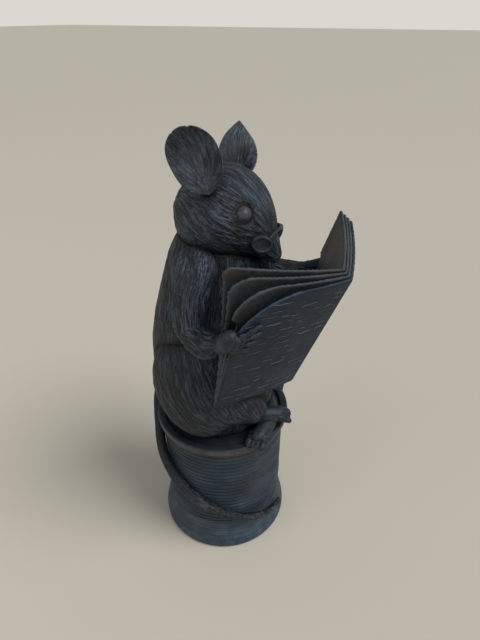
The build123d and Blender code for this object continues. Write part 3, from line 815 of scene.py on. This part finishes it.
over_foot = foot_bars(-1, ((8.0, 16.5, 9.6), (5.0, 24.5, 8.9), (1.2, 28.9, 8.2), (-1.8, 31.6, 7.0)), (4.6, 4.1, 3.5, 2.6))
over_toes = toe_runs(-1, (5.0, 24.5, 8.9), (0.8, 29.3, 7.8))
fingered("foot_right", 0.24, over_toes, 0.6, 0.9, 63, over_foot + [(*toe, 1.5, 1.25) for toe in over_toes])
fingered("foot_left", 0.24, toe_runs(1, (-3.0, 25.4, 4.9), (-14.0, 26.0, 4.2)), 0.85, 1.7, 64)


def tail_flow(points, normals):
    """Along the tail: down the back, then round the reel with a slight fall."""
    outward = unit(points * [1, 1, 0])
    ways = np.cross([0, 0, 1.0], outward) + [0, 0, -0.35]
    high = np.clip((points[:, 2] - 66) / 6, 0, 1)[:, None]
    return tangent(ways * (1 - high) + high * np.array([0, 0.5, -1.0]), normals)


def tail_detail(points, normals, relief):
    """The tail is smooth high up and rougher round the front."""
    rough = np.clip((52 - points[:, 2]) / 18, 0.25, 1)
    rings = lattice_noise(points, 1.1, 73)
    relief = np.clip(0.5 + (relief - 0.5) * rough + 0.28 * rings * rough, 0, 1)
    return 0.22 * rings * rough, relief


furred("tail", tail_flow, tail_resin, 0.26, 71, depth=0.16, detail=tail_detail)


def eye_piece(name, side):
    """An eyeball with a faintly raised clear front."""
    points, faces = remeshed(*node_arrays(name), 0.16)
    points = smoothed(points, faces, 4)
    normals = normals_of(points, faces)
    outward = unit(np.array([side * 0.93, 0.25, 0.27]) @ head_axes)
    facing = normals @ outward
    front = np.clip((facing - 0.8) / 0.15, 0, 1)
    relief = np.clip(0.5 + 0.15 * lattice_noise(points, 1.2, 81) + 0.2 * front, 0, 1)
    points = points + normals * (0.1 * front)[:, None]
    return add_piece(name + "_cast", points, faces, eye_resin, [name], {"relief": relief})


eye_piece("eye_right", -1)
eye_piece("eye_left", 1)
near_lens = head_place(-1, 0.547, 0.03, 0.455)
lens_out = unit(np.array([-0.8, 0.05, 0.6]) @ head_axes)
lens_long = unit(snout_way - (snout_way @ lens_out) * lens_out)


def oval_lens(points):
    """Draws the near lens and its rim out into the oval that the photo shows."""
    away = points - near_lens
    near = np.clip((4.4 - np.linalg.norm(away, axis=1)) / 1.0, 0, 1)[:, None]
    along = (away @ lens_long)[:, None]
    return points + near * (0.33 * along * lens_long + 0.5 * lens_long + 0.5 * head_axes[1])


for label, voxel in (("lens_right", 0.12), ("lens_left", 0.12), ("spectacle_frame", 0.14)):
    cast(label, voxel, spectacle_resin, rounds=6, lump=0.01, shape=oval_lens)


def turned_foot():
    """The reel's foot turned to a smooth flare, with faint tool lines."""
    profile = [(0, 0), (30.2, 0), (31.0, 0.35), (31.4, 1.0), (31.5, 1.9), (31.42, 3.0), (31.2, 4.4), (30.85, 6.0), (30.4, 7.8),
               (29.95, 9.6), (29.55, 11.4), (29.2, 13.2), (28.98, 14.8), (28.85, 16.2), (28.4, 16.8), (27.6, 16.8), (27.2, 11.5), (0, 11.5)]
    reach, height = [profile[0][0]], [profile[0][1]]
    for (r0, z0), (r1, z1) in zip(profile, profile[1:]):
        steps = max(1, int(np.hypot(r1 - r0, z1 - z0) / 0.3))
        reach += [r0 + (r1 - r0) * step / steps for step in range(1, steps + 1)]
        height += [z0 + (z1 - z0) * step / steps for step in range(1, steps + 1)]
    reach, height = np.array(reach[1:-1]), np.array(height[1:-1])
    for _ in range(6):
        inner = slice(1, -1)
        free = (reach[inner] > 28) & (height[inner] > 0.01)
        reach[inner] = np.where(free, (reach[:-2] + reach[2:] + 2 * reach[inner]) / 4, reach[inner])
        height[inner] = np.where(free, (height[:-2] + height[2:] + 2 * height[inner]) / 4, height[inner])
    around = 300
    angle = 2 * pi * np.arange(around) / around
    points = np.stack([np.outer(reach, np.cos(angle)), np.outer(reach, np.sin(angle)), np.outer(height, np.ones(around))], 2).reshape(-1, 3)
    rows = np.arange(len(reach) - 1)[:, None] * around
    cols = np.arange(around)[None]
    low, high = (rows + cols).ravel(), (rows + (cols + 1) % around).ravel()
    faces = np.stack([low, high, high + around, low + around], 1)
    outside = np.clip((np.hypot(points[:, 0], points[:, 1]) - 28) / 1.0, 0, 1) * np.clip(points[:, 2] / 0.4, 0, 1)
    noise = lattice_noise(points, 3.5, 91)
    lines = lattice_noise(points * [0.05, 0.05, 1.0], 0.55, 92)
    turns = np.clip((points[:, 2] - 6) / 5, 0, 1) * np.cos(2 * pi * (points[:, 2] + 0.35 * noise) / 1.5)
    relief = np.clip(0.55 + 0.2 * noise + 0.16 * lines + 0.13 * turns, 0, 1)
    normals = normals_of(points, faces)
    points = points + normals * ((0.05 * noise + 0.03 * lines + 0.05 * turns) * outside)[:, None]
    all_faces = faces.tolist()
    all_faces.append(list(range(around))[::-1])
    all_faces.append([(len(reach) - 1) * around + i for i in range(around)])
    mesh = bpy.data.meshes.new("reel_foot_cast")
    mesh.from_pydata((points * MM).tolist(), [], all_faces)
    return finish_piece("reel_foot", mesh, reel_resin, relief)


turned_foot()


def dished_rim():
    """The rim, its lip rubbed to bronze along the outer edge."""
    points, faces = remeshed(*node_arrays("reel_rim"), 0.36)
    points = smoothed(points, faces, 6)
    normals = normals_of(points, faces)
    reach = np.hypot(points[:, 0], points[:, 1])
    noise = lattice_noise(points, 2.6, 93)
    band = np.clip((reach - 29.7) / 0.7, 0, 1) * np.clip((69.0 - points[:, 2]) / 0.9, 0, 1)
    relief = np.clip(0.34 + 0.12 * noise + band * (0.38 + 0.36 * lattice_noise(points, 6.0, 94)), 0, 1)
    points = points + normals * (0.06 * noise)[:, None]
    return add_piece("reel_rim_cast", points, faces, rim_resin, ["reel_rim"], {"relief": relief})


dished_rim()


def wound_thread():
    """The thread as one helix, its turns slightly uneven."""
    turns, around, sides = 22, 140, 12
    steps = np.arange(turns * around + 1) / around
    angle = 2 * pi * steps
    pitch = 2.33
    wobble = lattice_noise(np.stack([28 * np.cos(angle), 28 * np.sin(angle), steps * 9], 1), 9.0, 21)
    patch = lattice_noise(np.stack([28 * np.cos(angle), 28 * np.sin(angle), 2.33 * steps], 1), 6.5, 23)
    reach = 27.675 + 0.12 * wobble
    height = 11.5 + 0.48 + 0.925 + pitch * steps + 0.1 * lattice_noise(np.stack([28 * np.cos(angle), 28 * np.sin(angle), steps * 7], 1), 12.0, 22)
    size = 1.05 + 0.06 * wobble
    points, relief = [], []
    for side in range(sides):
        turn = 2 * pi * side / sides
        out = reach + 0.55 + size * 0.36 * np.sign(cos(turn)) * abs(cos(turn)) ** 0.7
        points.append(np.stack([out * np.cos(angle), out * np.sin(angle), height + size * 1.08 * sin(turn)], 1))
        relief.append(np.full(len(steps), np.clip(0.3 + 0.3 * cos(turn), 0, 1)) + 0.16 * wobble + 0.14 * patch)
    points = np.stack(points, 1).reshape(-1, 3)
    relief = np.clip(np.stack(relief, 1).reshape(-1), 0, 1)
    rows = np.arange(len(steps) - 1)
    faces = []
    for side in range(sides):
        low, high = rows * sides + side, rows * sides + (side + 1) % sides
        faces.append(np.stack([low, high, high + sides, low + sides], 1))
    faces = np.concatenate(faces).tolist()
    faces.append(list(range(sides))[::-1])
    faces.append([(len(steps) - 1) * sides + side for side in range(sides)])
    mesh = bpy.data.meshes.new("thread_winding_cast")
    mesh.from_pydata((points * MM).tolist(), [], faces)
    return finish_piece("thread_winding", mesh, thread_resin, relief)


wound_thread()
for label, material in (("reel_core", thread_resin), ("seat_dowel", plain_wood())):
    nodes[label].data.materials.clear()
    nodes[label].data.materials.append(material)


# ---- stage, light and camera

floor_mesh = bpy.data.meshes.new("floor")
floor_mesh.from_pydata([(-9, -9, 0), (9, -9, 0), (9, 9, 0), (-9, 9, 0)], [], [(0, 1, 2, 3)])
floor = bpy.data.objects.new("floor", floor_mesh)
bpy.context.scene.collection.objects.link(floor)
floor_material, floor_nodes, floor_links, floor_shader = new_material("floor_paint")
floor_shader.inputs["Base Color"].default_value = (0.56, 0.52, 0.44, 1.0)
floor_shader.inputs["Roughness"].default_value = 0.8
floor.data.materials.append(floor_material)

picture_right = Vector((cos(radians(-62)), sin(radians(-62)), 0))
picture_ahead = Vector((-sin(radians(-62)), cos(radians(-62)), 0))
up = Vector((0, 0, 1))


def lamp(name, place, size, power, colour, target=Vector((0, 0, 0.1))):
    light = bpy.data.lights.new(name, "AREA")
    light.size = size
    light.energy = power
    light.color = colour
    holder = bpy.data.objects.new(name, light)
    holder.location = place
    holder.rotation_euler = (target - place).to_track_quat("-Z", "Y").to_euler()
    bpy.context.scene.collection.objects.link(holder)


sun = bpy.data.lights.new("key", "SUN")
sun.energy = 2.1
sun.angle = radians(35)
sun_holder = bpy.data.objects.new("key", sun)
sun_holder.rotation_euler = (picture_ahead * 0.25 - picture_right * 0.55 - up * 0.75).to_track_quat("-Z", "Y").to_euler()
bpy.context.scene.collection.objects.link(sun_holder)
lamp("fill", -picture_right * 0.6 - picture_ahead * 0.5 + up * 0.5, 0.7, 1.6, (1.0, 1.0, 1.0))

world = bpy.data.worlds.new("studio")
bpy.context.scene.world = world
world.use_nodes = True
studio_light = world.node_tree.nodes["Background"]
studio_light.inputs["Color"].default_value = (1.0, 1.0, 1.0, 1.0)
studio_light.inputs["Strength"].default_value = 0.33
backdrop = world.node_tree.nodes.new("ShaderNodeBackground")
backdrop.inputs["Color"].default_value = (0.70, 0.686, 0.63, 1.0)
seen = world.node_tree.nodes.new("ShaderNodeMixShader")
world.node_tree.links.new(world.node_tree.nodes.new("ShaderNodeLightPath").outputs["Is Camera Ray"], seen.inputs[0])
world.node_tree.links.new(studio_light.outputs[0], seen.inputs[1])
world.node_tree.links.new(backdrop.outputs[0], seen.inputs[2])
world.node_tree.links.new(seen.outputs[0], world.node_tree.nodes["World Output"].inputs["Surface"])

pitch = radians(32.6)
camera_data = bpy.data.cameras.new("photo_view")
camera_data.lens = 36 * 481 / 640
camera_data.sensor_width = 36
camera = bpy.data.objects.new("photo_view", camera_data)
camera.location = (-picture_ahead * 173.9 + picture_right * 8.28 + up * 227.4) * MM
look = picture_ahead * cos(pitch) - up * sin(pitch)
camera.rotation_euler = look.to_track_quat("-Z", "Y").to_euler()
bpy.context.scene.collection.objects.link(camera)
bpy.context.scene.camera = camera
bpy.context.scene.view_settings.view_transform = "Standard"
